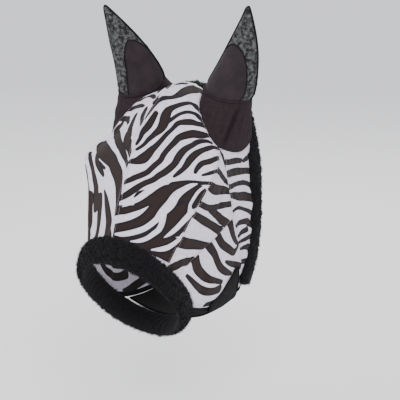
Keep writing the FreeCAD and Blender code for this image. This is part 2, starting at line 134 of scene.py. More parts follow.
FLAP_LEVEL, FLAP_FABRIC, HOOK_LEVEL, LOOP_LEVEL, STRIP_THICK = 3.8, 1.6, 2.3, 0.3, 1.2
STRIP_END, FLAP_MARGIN, FLAP_LAP_END = .955, .02, .98
FACE_CROWN, EYE_CROWN, JOWL_CROWN, CHEEK_CROWN = 7.0, -4.0, 3.0, 8.0

# ---------------------------------------------------------------- studio
CAMERA_PLACE, CAMERA_AIM = (1.357, -2.174, 0.483), (0.063, -0.021, -0.190)
CAMERA_LENS, CAMERA_SENSOR = 140.3, 36
FLOOR_SIZE, FLOOR_HEIGHT = 14, -.62
LIGHT_AIM = (0, -.02, -.18)
LIGHTS = (("key", (1.1, -1.5, 1.3), 34, 1.2), ("fill", (-1.6, -1.2, .5), 14, 1.5),
          ("rim", (-.6, 1.6, 1.2), 22, 1.0))          # name, place, energy and size

# ---------------------------------------------------------------- zebra stripes
# Each stroke is a list of (u, v, width in mm) on its panel. u runs across the panel and v along
# its seams, one unit for each seam curve. FACE_MASS is dark, and FACE_GAPS are pale lines through it.
FACE_MASS = [
    [(0, .2, 30), (.5, .25, 40), (1, .2, 40)],
    [(0, .55, 36), (.3, .62, 40), (.6, .7, 50), (.85, .72, 50), (1, .7, 20)],
    [(.3, .9, 30), (.5, 1.0, 30), (.7, 1.08, 30), (.9, 1.12, 30), (1, 1.1, 16)],
    [(.6, 1.15, 16), (.75, 1.27, 10), (.88, 1.33, 6), (1, 1.37, 4)],
    [(.76, .8, 30), (.86, .9, 26), (.93, 1.0, 14)],
]
FACE_GAPS = [
    [(0, .5, 13), (.13, .57, 11), (.25, .66, 9.5), (.33, .74, 6), (.4, .84, .5)],
    [(.04, .2, 3), (.16, .24, 8), (.32, .34, 9), (.44, .45, 9), (.52, .58, 9), (.58, .71, 10)],
    [(.57, .7, 10), (.6, .8, 13), (.65, .92, 15), (.67, 1.03, 13), (.72, 1.13, 10), (.79, 1.24, 7.5),
     (.85, 1.3, 2)],
    [(.75, .37, 1), (.81, .47, 6), (.875, .62, 8), (.92, .76, 9), (.945, .86, 9), (.89, .96, 5),
     (.89, 1.05, 5), (.91, 1.18, 5), (.96, 1.29, 4)],
    [(.945, .86, 9), (1, .92, 6)],
    [(.66, .12, 3), (.8, .18, 8), (.89, .25, 8), (.965, .38, 7), (1, .5, 8)],
    [(.31, .14, 2), (.42, .19, 6), (.52, .275, 7), (.59, .39, 8), (.64, .5, 9), (.645, .64, 9),
     (.62, .77, 10)],
    [(.055, .745, 1), (.14, .82, 6), (.25, .92, 9.5), (.345, 1.035, 11), (.405, 1.13, 11),
     (.49, 1.23, 10)],
]
FACE_LEFT = [
    [(0, 1.47, 5), (.09, 1.53, 10), (.15, 1.61, 16), (.19, 1.71, 14), (.22, 1.8, 11), (.26, 1.88, 8.5),
     (.3, 1.955, 7), (.345, 2.03, 6), (.4, 2.11, 5.5), (.45, 2.2, 7), (.5, 2.25, 8), (.6, 2.31, 10),
     (.7, 2.36, 10), (.8, 2.39, 8), (.9, 2.41, 6), (1, 2.41, 3)],
    [(0, 1.06, 5), (.07, 1.12, 7), (.12, 1.175, 8), (.19, 1.245, 8), (.25, 1.33, 8), (.28, 1.43, 8),
     (.315, 1.545, 8), (.35, 1.65, 8), (.365, 1.765, 8), (.4, 1.867, 8), (.445, 1.945, 9), (.5, 2.02, 10),
     (.6, 2.1, 12), (.7, 2.165, 13), (.8, 2.2, 12), (.9, 2.23, 8), (1, 2.27, 4)],
    [(0, .86, 7), (.08, .93, 9), (.17, 1.02, 9), (.26, 1.12, 8), (.34, 1.2, 8), (.39, 1.3, 9),
     (.435, 1.39, 10), (.485, 1.53, 10), (.515, 1.645, 10), (.53, 1.76, 11), (.555, 1.85, 11),
     (.6, 1.92, 10), (.7, 2.0, 8), (.76, 2.05, 6.5), (.85, 2.09, 5), (.93, 2.08, 3)],
    [(.56, 1.35, 3), (.595, 1.455, 6), (.625, 1.555, 7), (.645, 1.66, 9), (.665, 1.77, 11),
     (.71, 1.87, 11), (.785, 1.94, 9), (.88, 1.98, 8), (1, 1.99, 6)],
    [(.77, 1.55, 4.5), (.775, 1.655, 7), (.81, 1.765, 9), (.9, 1.83, 11), (.97, 1.87, 9), (1, 1.88, 8)],
    [(.86, 1.52, 2), (.925, 1.585, 5), (1, 1.66, 6)],
    [(.28, 2.13, 5), (.335, 2.2, 5), (.43, 2.33, 5), (.5, 2.4, 5), (.61, 2.47, 5), (.75, 2.52, 5),
     (.85, 2.53, 5), (.935, 2.51, 5), (1, 2.49, 4)],
    [(.05, 1.75, 3), (.11, 1.84, 4.5), (.15, 1.925, 6), (.195, 1.99, 8), (.25, 2.065, 12), (.27, 2.15, 15),
     (.26, 2.24, 15), (.27, 2.34, 12), (.33, 2.42, 9), (.46, 2.52, 8), (.61, 2.6, 7), (.72, 2.64, 7),
     (.85, 2.65, 7), (.95, 2.63, 5), (1, 2.61, 3)],
    [(.03, 1.83, 3.5), (.05, 1.91, 5), (.055, 1.975, 7.5), (.09, 2.06, 10), (.105, 2.145, 9),
     (.11, 2.23, 6.5)],
    [(0, 2.12, 3), (.01, 2.2, 5), (.03, 2.36, 7), (.1, 2.46, 7), (.24, 2.545, 8), (.35, 2.65, 13),
     (.42, 2.74, 17), (.55, 2.84, 22), (.8, 2.9, 25), (1, 2.9, 25)],
    [(0, 2.7, 7), (.08, 2.77, 5), (.2, 2.83, 3)],
]
FACE_RIGHT = [
    [(.03, .62, 8), (.06, .8, 14), (.11, 1.0, 22), (.18, 1.17, 24), (.28, 1.33, 24), (.375, 1.5, 24),
     (.6, 1.7, 26), (.85, 1.85, 20)],
    [(0, 1.38, 6), (.11, 1.58, 10), (.27, 1.78, 12), (.5, 1.92, 13), (.8, 2.03, 13), (.8, 2.2, 12)],
    [(0, 1.62, 6), (.08, 1.76, 12), (.2, 1.88, 18), (.32, 2.0, 16), (.36, 2.12, 12), (.4, 2.25, 8)],
    [(.92, 1.66, 6), (.84, 1.39, 12), (.79, 1.16, 14), (.735, 1.0, 15), (.72, .86, 20), (.7, .75, 25)],
    [(.74, 1.74, 10), (.7, 1.55, 12), (.67, 1.41, 12), (.59, 1.27, 11), (.53, 1.17, 6)],
    [(.48, .95, 3), (.4, .84, 10), (.32, .69, 14), (.24, .49, 17), (.2, .3, 20), (.15, .15, 24)],
    [(.6, .85, 18), (.56, .7, 16), (.55, .5, 14), (.56, .3, 12), (.56, .12, 14)],
    [(.9, .85, 24), (.93, .7, 18), (.9, .5, 20), (.9, .3, 18), (.88, .12, 18)],
    [(1, 1.35, 6), (.98, 1.15, 10), (.96, .95, 12)],
    [(0, 2.05, 5), (.08, 2.12, 12), (.15, 2.2, 14), (.2, 2.3, 8)],
    [(0, 2.33, 8), (.05, 2.4, 8), (.1, 2.5, 5)],
    [(.3, 2.62, 6), (.5, 2.76, 12), (.75, 2.88, 20), (1, 2.9, 24)],
    [(.5, 2.14, 6), (.66, 2.26, 10), (.84, 2.33, 9), (1, 2.36, 5)],
    [(.34, 2.38, 5), (.52, 2.44, 9), (.76, 2.5, 9), (1, 2.52, 5)],
    [(.2, 2.48, 5), (.4, 2.58, 9), (.68, 2.65, 9), (1, 2.66, 5)],
    [(.5, 1.3, 4), (.62, 1.42, 6)],
    [(.03, 2.6, 5), (.12, 2.7, 7), (.25, 2.8, 4)],
]
EYE = [
    [(0, .86, 9), (.27, .85, 12), (.59, .84, 12), (.9, .82, 13), (1, .8, 13)],
    [(0, 1.0, 8), (.23, 1.0, 9), (.42, 1.04, 10), (.71, 1.11, 9), (1, 1.17, 8)],
    [(.3, .99, 9), (.52, .97, 11), (.75, .94, 13), (1, .92, 14)],
    [(0, 1.32, 12), (.2, 1.3, 15), (.36, 1.31, 15), (.7, 1.36, 12), (1, 1.38, 7)],
    [(0, 1.68, 8), (.3, 1.69, 9), (.65, 1.63, 8), (.95, 1.55, 5)],
    [(.2, 1.98, 5), (.7, 1.93, 5), (1, 1.82, 4)],
    [(0, .36, 18), (.3, .39, 17), (.48, .42, 16), (.75, .46, 13), (1, .49, 12)],
    [(0, .02, 10), (.3, .06, 12), (.6, .13, 12), (1, .19, 13)],
]
CHEEK = [
    [(.95, 0, 13), (.935, .1, 12), (.945, .18, 9), (.97, .25, 5)],
    [(.745, 0, 14), (.75, .08, 13), (.81, .18, 12), (.88, .29, 10), (.95, .3, 8), (1, .28, 6)],
    [(.69, .29, 3), (.75, .36, 7), (.86, .5, 9), (.97, .68, 10)],
    [(.52, 0, 15), (.545, .1, 13), (.54, .2, 12), (.555, .32, 12), (.63, .44, 10), (.74, .56, 5)],
    [(.225, 0, 19), (.21, .12, 18), (.235, .27, 15), (.285, .39, 11), (.37, .47, 8), (.48, .56, 6)],
    [(.09, .12, 4), (.105, .25, 7), (.13, .42, 10), (.18, .57, 12), (.27, .64, 12), (.4, .66, 14)],
    [(.2, .9, 10), (.5, .85, 12), (.8, .84, 11), (1, .86, 9)],
]
JOWL = [
    [(0, 1.88, 7), (.27, 1.84, 8), (.47, 1.77, 5)],
    [(.53, 1.75, 5), (.7, 1.73, 8), (.9, 1.72, 8)],
    [(0, 1.72, 10), (.25, 1.67, 11), (.47, 1.6, 9), (.7, 1.52, 8), (.88, 1.42, 7)],
    [(0, 1.47, 8), (.15, 1.46, 6), (.42, 1.41, 6), (.65, 1.32, 6), (.83, 1.2, 5)],
    [(0, 1.31, 6), (.1, 1.28, 10), (.24, 1.23, 12), (.47, 1.18, 13), (.67, 1.12, 12), (.85, 1.05, 12)],
    [(.02, 1.07, 4), (.15, 1.09, 4), (.4, 1.03, 5), (.65, .96, 6), (.85, .93, 9)],
    [(.02, .92, 6), (.15, .94, 9), (.38, .92, 9), (.58, .85, 9), (.78, .76, 10)],
    [(.02, .8, 5), (.15, .84, 8), (.38, .83, 8)],
    [(.02, .72, 5), (.25, .73, 7), (.48, .71, 8), (.75, .65, 12)],
    [(.05, .61, 6), (.27, .6, 9), (.48, .53, 9), (.75, .48, 9)],
    [(0, .36, 9), (.4, .33, 10), (.7, .3, 10)],
    [(0, .13, 12), (1, .1, 12)],
]
FAR_SIDE_SHIFT = 0.06     # the hidden far side wears the same stripes, moved along by this much


# ---------------------------------------------------------------- curves and nets
def points(rows):
    """An array of points from a list of triples."""
    return np.array(rows, float)


def unit(v):
    """The same vectors with length 1."""
    return v / np.maximum(np.linalg.norm(v, axis=-1, keepdims=True), 1e-12)


def turned(vectors, axis, degrees):
    """Vectors turned about an axis."""
    axis, angle = unit(np.array(axis, float)), math.radians(degrees)
    along = (vectors @ axis)[..., None] * axis
    cos, sin = math.cos(angle), math.sin(angle)
    return vectors * cos + np.cross(axis, vectors) * sin + along * (1 - cos)


def inward(place):
    """Unit vectors from points on the mask towards the head's axis."""
    along = AXIS_NOSE - AXIS_TOP
    t = np.clip((place - AXIS_TOP) @ along / (along @ along), 0, 1)
    return unit(AXIS_TOP + t[..., None] * along - place)


def weights(t, count):
    """Weights of a clamped cubic's control points at parameters t."""
    knots = np.concatenate([np.zeros(3), np.linspace(0, 1, count - 2), np.ones(3)])
    t = np.clip(t, 0, 1 - 1e-9)[:, None]
    found = ((t >= knots[:-1]) & (t < knots[1:])).astype(float)
    for degree in (1, 2, 3):
        size = found.shape[1] - 1
        start, end = knots[:size], knots[degree + 1:degree + 1 + size]
        rise = np.maximum(knots[degree:degree + size] - start, 1e-12)
        fall = np.maximum(end - knots[1:1 + size], 1e-12)
        found = (t - start) / rise * found[:, :-1] + (end - t) / fall * found[:, 1:]
    return found


def at(net, step, u, v):
    """Points of a net at u across and v along, one unit of v for each step rows."""
    u, v = np.atleast_1d(u).astype(float), np.atleast_1d(v).astype(float)
    spans = (len(net) - 1) // step
    span = np.clip(np.floor(v), 0, spans - 1).astype(int)
    place = np.zeros((len(u), 3))
    for k in range(spans):
        mine = span == k
        along = weights(v[mine] - k, step + 1)
        across = weights(u[mine], net.shape[1])
        place[mine] = np.einsum("ni,nj,ijk->nk", along, across, net[step * k:step * k + step + 1])
    return place


def grid(net, step, rows, cols):
    """Points of a net on an even grid of parameters, rows x cols."""
    spans = (len(net) - 1) // step
    v, u = np.meshgrid(np.linspace(0, spans, rows), np.linspace(0, 1, cols), indexing="ij")
    return at(net, step, u.ravel(), v.ravel()).reshape(rows, cols, 3)


def grid_size(net, pitch):
    """Rows and columns that space a grid's points by about pitch."""
    along = np.linalg.norm(np.diff(net, axis=0), axis=2).sum(0).max()
    across = np.linalg.norm(np.diff(net, axis=1), axis=2).sum(1).max()
    return max(6, round(along / pitch)), max(4, round(across / pitch))


def grids(step, pitch, *nets):
    """Grids of one size over nets, spaced by about pitch on the first."""
    size = grid_size(nets[0], pitch)
    return [grid(net, step, *size) for net in nets]


def line(control, step, count):
    """Points along a seam curve."""
    spans = (len(control) - 1) // step
    return at(control[:, None].repeat(4, 1), step, np.zeros(count), np.linspace(0, spans, count))


def mirrored(place):
    """The same points on the other side of the mask."""
    return place * (-1, 1, 1)


def joined(*curves):
    """Seam curves end to end."""
    found = list(curves[0])
    for extra in curves[1:]:
        found += list(extra)[1:]
    return found


def nose_point(degrees, out=0.0, along=0.0, pull=0.0):
    """Point on the nose roll's ring, counted from the front."""
    back = np.array((0, math.cos(NOSE_SLOPE), -math.sin(NOSE_SLOPE))) * (NOSE_DEPTH / 2)
    middle = NOSE_FRONT + back + ROLL_LEAN * along
    deep = back + ROLL_OUTWARD * out - ROLL_TURN * along
    wide = np.array((NOSE_HALF_WIDTH + out, 0, 0))
    a = math.radians(degrees)
    return middle - deep * math.cos(a) + wide * math.sin(a) + (deep * math.sin(a) + wide * math.cos(a)) * pull


def nose_arc(start, end, out=0.0, along=0.0):
    """Four control points of an arc of the ring."""
    pull = 4 / 3 * math.tan(math.radians(end - start) / 4)
    return points([nose_point(start, out, along), nose_point(start, out, along, pull),
                   nose_point(end, out, along, -pull), nose_point(end, out, along)])


def ring_net(section):
    """Net round the nose from (outwards, along) offsets of its section."""
    rings = []
    for out, along in section:
        ring = [nose_point(0, out, along)]
        for quarter in range(4):
            ring += list(nose_arc(90 * quarter, 90 * (quarter + 1), out, along)[1:])
        rings.append(ring)
    return points(rings).transpose(1, 0, 2)


def between(first, second):
    """Net of straight rows of four points from one curve to another."""
    t = np.linspace(0, 1, 4)[None, :, None]
    return first[:, None] * (1 - t) + second[:, None] * t


def stretched(first, second, crown):
    """Net between two seams, standing out by crown in the middle."""
    net = between(first, second)
    net[:, 1:3] -= inward(net[:, 1:3]) * crown
    return net


def four_sided(low, high, left, right, crown):
    """Net spanned by four edges of five control points."""
    t = np.linspace(0, 1, 5)
    v, u = t[:, None, None], t[None, :, None]
    across = left[:, None] * (1 - u) + right[:, None] * u
    along = low[None] * (1 - v) + high[None] * v
    corners = (low[0] * (1 - u) + low[-1] * u) * (1 - v) + (high[0] * (1 - u) + high[-1] * u) * v
    net = across + along - corners
    return net - inward(net) * (16 * u * (1 - u) * v * (1 - v) * crown)


def finer(four):
    """The same cubic arc with five control points in place of four."""
    a, b, c, d = four
    return points([a, (a + b) / 2, (b + c) / 2, (c + d) / 2, d])


SIDES = (("left", points), ("right", mirrored))       # each side, and what takes left points there
CENTRE = points([nose_point(0, 0, SEWN_IN)] + joined(CENTRE_LOW, CENTRE_EYE, CENTRE_POLL))
RIDGE = points([nose_point(RIDGE_FOOT, 0, SEWN_IN)] + joined(RIDGE_LOW, RIDGE_EYE))
FACE_EDGE = np.concatenate([RIDGE, points(EAR_FRONT_EDGE)[1:]])
FOLD = points([nose_point(FOLD_FOOT, 0, SEWN_IN)] + joined(FOLD_LOW, FOLD_EYE))
JAW = points([nose_point(JAW_FOOT, 0, SEWN_IN)] + JAW_EDGE)
REAR = points(joined(REAR_LOW, REAR_HIGH))

FACE_NET = stretched(CENTRE, FACE_EDGE, FACE_CROWN)
FACE_NET[0] = nose_arc(0, RIDGE_FOOT, 0, SEWN_IN)
EYE_NET = stretched(RIDGE, FOLD, EYE_CROWN)
EYE_NET[0] = nose_arc(RIDGE_FOOT, FOLD_FOOT, 0, SEWN_IN)
JOWL_NET = stretched(points(joined(JOWL_SEAM, FOLD_EYE)), REAR, JOWL_CROWN)
CHEEK_NET = four_sided(FOLD[:5], JAW, finer(nose_arc(FOLD_FOOT, JAW_FOOT, 0, SEWN_IN)),
                       points(JOWL_SEAM[::-1]), CHEEK_CROWN)
JOWL_NET[-1] = points(EAR_LOW_EDGE)[[0, 1, 3, 4]]


# ---------------------------------------------------------------- meshes
def ripple(place, wavelength, seed, count=7):
    """A smooth random field over points, from about -1 to 1."""
    rng = np.random.default_rng(seed)
    waves = unit(rng.normal(size=(count, 3))) * (2 * math.pi / wavelength) * rng.uniform(.7, 1.4, (count, 1))
    shifts = rng.uniform(0, 2 * math.pi, count)
    return np.sin(place @ waves.T + shifts).sum(-1) / math.sqrt(count * 2)


def surface_normals(place):
    """Unit normals of a grid of points, pointing away from the head's axis."""
    rows, cols = np.gradient(place, axis=0), np.gradient(place, axis=1)
    found = unit(np.cross(rows, cols))
    flip = np.sign((found * -inward(place)).sum(-1, keepdims=True).mean())
    return found * flip


def steps(place, axis):
    """Distance run along a grid's rows or columns."""
    gaps = np.linalg.norm(np.diff(place, axis=axis), axis=2)
    return np.concatenate([np.zeros_like(gaps.take([0], axis)), gaps.cumsum(axis)], axis)


def make_mesh(name, place, faces, finish, values=None):
    """Mesh object from points in millimetres, with numbers kept on its points."""
    mesh = bpy.data.meshes.new(name)
    mesh.from_pydata((np.asarray(place) * MM).tolist(), [], faces)
    for key, value in (values or {}).items():
        kind, field = ("FLOAT_VECTOR", "vector") if np.ndim(value) == 2 else ("FLOAT", "value")
        mesh.attributes.new(key, kind, "POINT").data.foreach_set(field, np.asarray(value, np.float32).ravel())
    obj = bpy.data.objects.new(name, mesh)
    bpy.context.scene.collection.objects.link(obj)
    work = bmesh.new()
    work.from_mesh(mesh)
    bmesh.ops.remove_doubles(work, verts=work.verts, dist=2e-6)
    bmesh.ops.recalc_face_normals(work, faces=work.faces)
    work.to_mesh(mesh)
    work.free()
    mesh.polygons.foreach_set("use_smooth", [True] * len(mesh.polygons))
    mesh.materials.append(finish)
    return obj


def closed_faces(rows, around, capped):
    """Quads of a skin of rows, each row a closed loop of points, with its ends closed if capped."""
    faces = [(r * around + j, r * around + (j + 1) % around,
              (r + 1) * around + (j + 1) % around, (r + 1) * around + j)
             for r in range(rows - 1) for j in range(around)]
    if capped:
        for base in (0, (rows - 1) * around):
            faces += [(base + j, base + j + 1, base + around - 2 - j, base + around - 1 - j)
                      for j in range(around // 2 - 1)]
    return faces


def skin(name, outer, inner, finish, values=None, capped=True):
    """Closed piece between an outer and an inner grid of points."""
    rows, cols = outer.shape[:2]
    place = np.concatenate([outer, inner[:, ::-1]], axis=1).reshape(-1, 3)
    both = {key: np.concatenate([value, value[:, ::-1]], axis=1).reshape(rows * cols * 2, -1).squeeze()
            for key, value in (values or {}).items()}
    return make_mesh(name, place, closed_faces(rows, cols * 2, capped), finish, both)


def belongs(obj, body, slot, *nodes):
    """The piece rides on a body and stands for CAD nodes, if any. slot is not used."""
    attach(obj, body)
    if nodes:
        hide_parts(*nodes)


def cloth_coordinates(place):
    """Distances across and along a grid, in metres, for the weave."""
    return np.stack([steps(place, 1), steps(place, 0), np.zeros(place.shape[:2])], -1) * MM


def blended_rows(path, t):
    """Rows of numbers along a path, taken smoothly at t, counted in rows."""
    k = np.clip(t.astype(int), 0, len(path) - 2)
    f = (t - k)[:, None]
    before, after = path[np.maximum(k - 1, 0)], path[np.minimum(k + 2, len(path) - 1)]
    a, b = path[k], path[k + 1]
    bend = 2 * before - 5 * a + 4 * b - after + f * (3 * (a - b) + after - before)
    return a + .5 * f * (b - before + f * bend)


def distance_to_strokes(place, net, strokes, mirror, shift=0.0, swell=0.0):
    """Distance in mm from points to the nearest stroke's edge, negative inside it."""
    nearest = np.full(len(place), 1e3)
    for stroke in strokes:
        path = points(stroke)
        path = blended_rows(path, np.linspace(0, len(path) - 1, 12 * (len(path) - 1) + 1))
        centre = at(net, 4, np.clip(path[:, 0], 0, 1), path[:, 1] + shift)
        centre = mirrored(centre) if mirror else centre
        reach = np.maximum(path[:, 2] + swell, .3) / 2
        low, high = centre.min(0) - 25, centre.max(0) + 25
        near = np.flatnonzero(((place > low) & (place < high)).all(1))
        gaps = np.linalg.norm(place[near, None] - centre[None], axis=2) - reach
        nearest[near] = np.minimum(nearest[near], gaps.min(1))
    return nearest


def panel_stripes(place, kind, mirror):
    """Stripe distance of points on a panel, negative on the dark stripes."""
    swell = STROKE_SWELL[kind]
    if kind == "face" and mirror:
        return distance_to_strokes(place, FACE_NET, FACE_RIGHT, True, swell=swell)
    if kind == "face":
        mass = distance_to_strokes(place, FACE_NET, FACE_MASS, False, swell=swell)
        gaps = distance_to_strokes(place, FACE_NET, FACE_GAPS, False)
        lines = distance_to_strokes(place, FACE_NET, FACE_LEFT, False, swell=swell)
        return np.minimum(np.maximum(mass, -gaps), lines)
    net, strokes = PANELS[kind][0], {"eye": EYE, "cheek": CHEEK, "jowl": JOWL}[kind]
    return distance_to_strokes(place, net, strokes, mirror, FAR_SIDE_SHIFT if mirror else 0.0, swell)


# ---------------------------------------------------------------- materials
def material(name, colour, rough=0.9, sheen=0.08):
    """New material and its node tree."""
    made = bpy.data.materials.new(name)
    made.use_nodes = True
    shader = made.node_tree.nodes["Principled BSDF"]
    shader.inputs["Base Color"].default_value = (*colour, 1)
    shader.inputs["Roughness"].default_value = rough
    shader.inputs["Sheen Weight"].default_value = sheen
    shader.inputs["Specular IOR Level"].default_value = 0.12
    return made, made.node_tree, shader


def node(tree, kind, **settings):
    """New shader node with some of its settings."""
    made = tree.nodes.new(kind)
    for key, value in settings.items():
        setattr(made, key, value)
    return made


def attribute(tree, name):
    """Node that reads a number kept on the mesh's points."""
    return node(tree, "ShaderNodeAttribute", attribute_name=name)


def ramp(tree, value, low, high, start=0.0, end=1.0):
    """A value mapped from low..high to start..end, held at the ends."""
    made = node(tree, "ShaderNodeMapRange")
    for index, number in enumerate((low, high, start, end), 1):
        made.inputs[index].default_value = number
    tree.links.new(value, made.inputs[0])
    return made.outputs[0]


def mix(tree, factor, first, second):
    """Two colours mixed by a factor."""
    made = node(tree, "ShaderNodeMix", data_type="RGBA")
    tree.links.new(factor, made.inputs[0])
    for socket, colour in ((made.inputs[6], first), (made.inputs[7], second)):
        if isinstance(colour, tuple):
            socket.default_value = (*colour, 1)
        else:
            tree.links.new(colour, socket)
    return made.outputs[2]


def weave_cells(tree, pitch):
    """Distance from the middle of the nearest mesh hole, 0 to about 0.7."""
    cloth = attribute(tree, "cloth")
    cells = node(tree, "ShaderNodeTexVoronoi", voronoi_dimensions="2D")
    cells.inputs["Scale"].default_value = 1 / pitch
    cells.inputs["Randomness"].default_value = 0.12
    tree.links.new(cloth.outputs["Vector"], cells.inputs["Vector"])
    return cells.outputs["Distance"]


def noise(tree, size, detail=3.0):
    """Smooth noise over the object, size in metres."""
    where = node(tree, "ShaderNodeTexCoord")
    made = node(tree, "ShaderNodeTexNoise")
    made.inputs["Scale"].default_value = 1 / size
    made.inputs["Detail"].default_value = detail
    tree.links.new(where.outputs["Object"], made.inputs["Vector"])
    return made.outputs["Fac"]


def add_bump(tree, shader, height, strength, depth):
    """Bump from a height of 0 to 1, depth in metres."""
    bump = node(tree, "ShaderNodeBump")
    bump.inputs["Strength"].default_value = strength
    bump.inputs["Distance"].default_value = depth
    tree.links.new(height, bump.inputs["Height"])
    tree.links.new(bump.outputs["Normal"], shader.inputs["Normal"])


def zebra_material():
    """Fine mesh, printed with dark stripes that are browner in the middle."""
    made, tree, shader = material("zebra_mesh", (.8, .75, .82), 0.85, 0.03)
    stripe = attribute(tree, "stripe").outputs["Fac"]
    fade = ramp(tree, noise(tree, .005, 6), .35, .65)
    dark = mix(tree, ramp(tree, stripe, -.55, -.15), (.030, .018, .015), (.014, .012, .016))
    dark = mix(tree, ramp(tree, fade, 0, 1, 0, .5), dark, (.020, .015, .017))
    pale = mix(tree, fade, (.72, .66, .76), (.86, .81, .89))
    print_colour = mix(tree, ramp(tree, stripe, -.035, .035), dark, pale)
    hole = ramp(tree, weave_cells(tree, .0016), .18, .34)
    tree.links.new(mix(tree, hole, mix(tree, ramp(tree, hole, 0, 1, .55, 1), (.02, .018, .02), print_colour),
                       print_colour), shader.inputs["Base Color"])
    add_bump(tree, shader, hole, .6, .0004)
    return made


def woven_material(name, colour, pitch, rough=0.88, sheen=0.04):
    """Plain woven or knitted cloth."""
    made, tree, shader = material(name, colour, rough, sheen)
    cells = weave_cells(tree, pitch)
    # lit is a lighter copy of the colour, laid in random patches on the raised thread tops: painted highlight
    lit = tuple(1.9 * c + .004 for c in colour)
    lit_speckle = mix(tree, ramp(tree, noise(tree, .006), .35, .7), colour, lit)
    tree.links.new(mix(tree, ramp(tree, cells, .15, .5), lit_speckle, colour), shader.inputs["Base Color"])
    add_bump(tree, shader, ramp(tree, cells, .1, .6, 1, 0), .7, .0004)
    return made


def pile_material(name, colour):
    """Faux fur pile, lighter at some tips."""
    made, tree, shader = material(name, colour, 0.85, 0.06)
    tip = attribute(tree, "tip").outputs["Fac"]
    clump = mix(tree, ramp(tree, noise(tree, .004), .35, .7), tuple(.45 * c for c in colour),
                tuple(1.5 * c for c in colour))
    tree.links.new(mix(tree, ramp(tree, tip, .2, 1), clump, tuple(2.6 * c for c in colour)),
                   shader.inputs["Base Color"])
    add_bump(tree, shader, noise(tree, .0015, 6), .8, .001)
    return made


def ear_material():
    """Dark inside the leaf; outside it, see-through near-black mesh with painted grey glints."""
    made, tree, shader = material("ear_cloth", (.02, .016, .02), 0.8, 0.06)
    outside = ramp(tree, attribute(tree, "leaf").outputs["Fac"], -.03, .03)
    cells = weave_cells(tree, .0017)
    strand = ramp(tree, cells, .24, .36)
    # glint is painted highlight: the near-black strands streaked light grey in random patches
    glint = mix(tree, ramp(tree, noise(tree, .006, 8), .42, .66), (.018, .018, .019), (.12, .12, .12))
    cloth = mix(tree, ramp(tree, noise(tree, .02), .3, .75), (.017, .013, .016), (.030, .0205, .025))
    tree.links.new(mix(tree, outside, cloth, glint), shader.inputs["Base Color"])
    solid = ramp(tree, strand, 0, 1, .38, 1)
    opaque = node(tree, "ShaderNodeMix", data_type="FLOAT")
    tree.links.new(outside, opaque.inputs[0])
    opaque.inputs[2].default_value = 1
    tree.links.new(solid, opaque.inputs[3])
    tree.links.new(opaque.outputs[0], shader.inputs["Alpha"])
    add_bump(tree, shader, strand, .5, .0004)
    return made


ZEBRA = zebra_material()
EAR_CLOTH = ear_material()
GUSSET_CLOTH = woven_material("gusset_cloth", (.019, .012, .0145), .0014, sheen=0)
TAPE_CLOTH = woven_material("woven_tape", (.006, .006, .007), .0016, sheen=0)
LINING = woven_material("knitted_lining", (.010, .010, .011), .0022, .95, .03)
FLAP_CLOTH = woven_material("flap_cloth", (.004, .004, .0045), .0018, sheen=0)
LOOP_TAPE = pile_material("loop_tape", (.009, .009, .010))
HOOK_TAPE = woven_material("hook_tape", (.008, .008, .009), .0012, .6, .02)
PILE = pile_material("black_pile", (.0065, .0065, .0075))
THREAD = woven_material("thread", (.030, .028, .030), .0005, .7, .03)
PALE_THREAD = woven_material("pale_thread", (.42, .38, .43), .0005, .7, .03)

# Each panel's net, the width and length of the cloth it is cut from, and its area, in metres.
PANELS = {
    "face": (FACE_NET, .17, .42, .0387),
    "eye": (EYE_NET, .10, .25, .0169),
    "cheek": (CHEEK_NET, .16, .19, .0229),
    "jowl": (JOWL_NET, .12, .31, .0248),
}


# ---------------------------------------------------------------- cloth between its seams
def settled(place):
    """How far the points of a sheet move when it hangs a little loose from its pinned edges."""
    rows, cols = place.shape[:2]
    faces = [(r * cols + c, r * cols + c + 1, (r + 1) * cols + c + 1, (r + 1) * cols + c)
             for r in range(rows - 1) for c in range(cols - 1)]
    mesh = bpy.data.meshes.new("cloth_work")
    mesh.from_pydata((place.reshape(-1, 3) * MM).tolist(), [], faces)
    obj = bpy.data.objects.new("cloth_work", mesh)
    bpy.context.scene.collection.objects.link(obj)
    index = np.arange(rows * cols).reshape(rows, cols)
    border = np.unique(np.concatenate([index[0], index[-1], index[:, 0], index[:, -1]]))
    obj.vertex_groups.new(name="sewn").add(border.tolist(), 1.0, "REPLACE")
    cloth = obj.modifiers.new("Cloth", "CLOTH")
    cloth.settings.quality = 6
    cloth.settings.mass = 0.05
    cloth.settings.bending_stiffness = 0.3
    cloth.settings.shrink_min = CLOTH_SLACK
    cloth.settings.vertex_group_mass = "sewn"
    cloth.point_cache.frame_end = CLOTH_FRAMES
    for step in range(1, CLOTH_FRAMES + 1):
        bpy.context.scene.frame_set(step)
    found = obj.evaluated_get(bpy.context.evaluated_depsgraph_get()).data
    moved = points([v.co for v in found.vertices]).reshape(place.shape) / MM - place
    bpy.data.objects.remove(obj)
    bpy.context.scene.frame_set(1)
    size = np.linalg.norm(moved, axis=2, keepdims=True)
    return moved * np.minimum(1, MOST_SAG / np.maximum(size, 1e-9))


def resampled(field, rows, cols):
    """A grid of vectors stretched smoothly over another number of rows and columns."""
    old_r, old_c = np.linspace(0, 1, field.shape[0]), np.linspace(0, 1, field.shape[1])
    wide = np.stack([[np.interp(np.linspace(0, 1, cols), old_c, row[:, k]) for row in field]
                     for k in range(3)], -1)
    return np.stack([[np.interp(np.linspace(0, 1, rows), old_r, wide[:, c, k]) for c in range(cols)]
                     for k in range(3)], -1).transpose(1, 0, 2)


def edge_distance(place):
    """Distance in mm from each point of a grid to the nearest of its four edges."""
    across, along = steps(place, 1), steps(place, 0)
    return np.minimum(np.minimum(across, across[:, -1:] - across), np.minimum(along, along[-1:] - along))


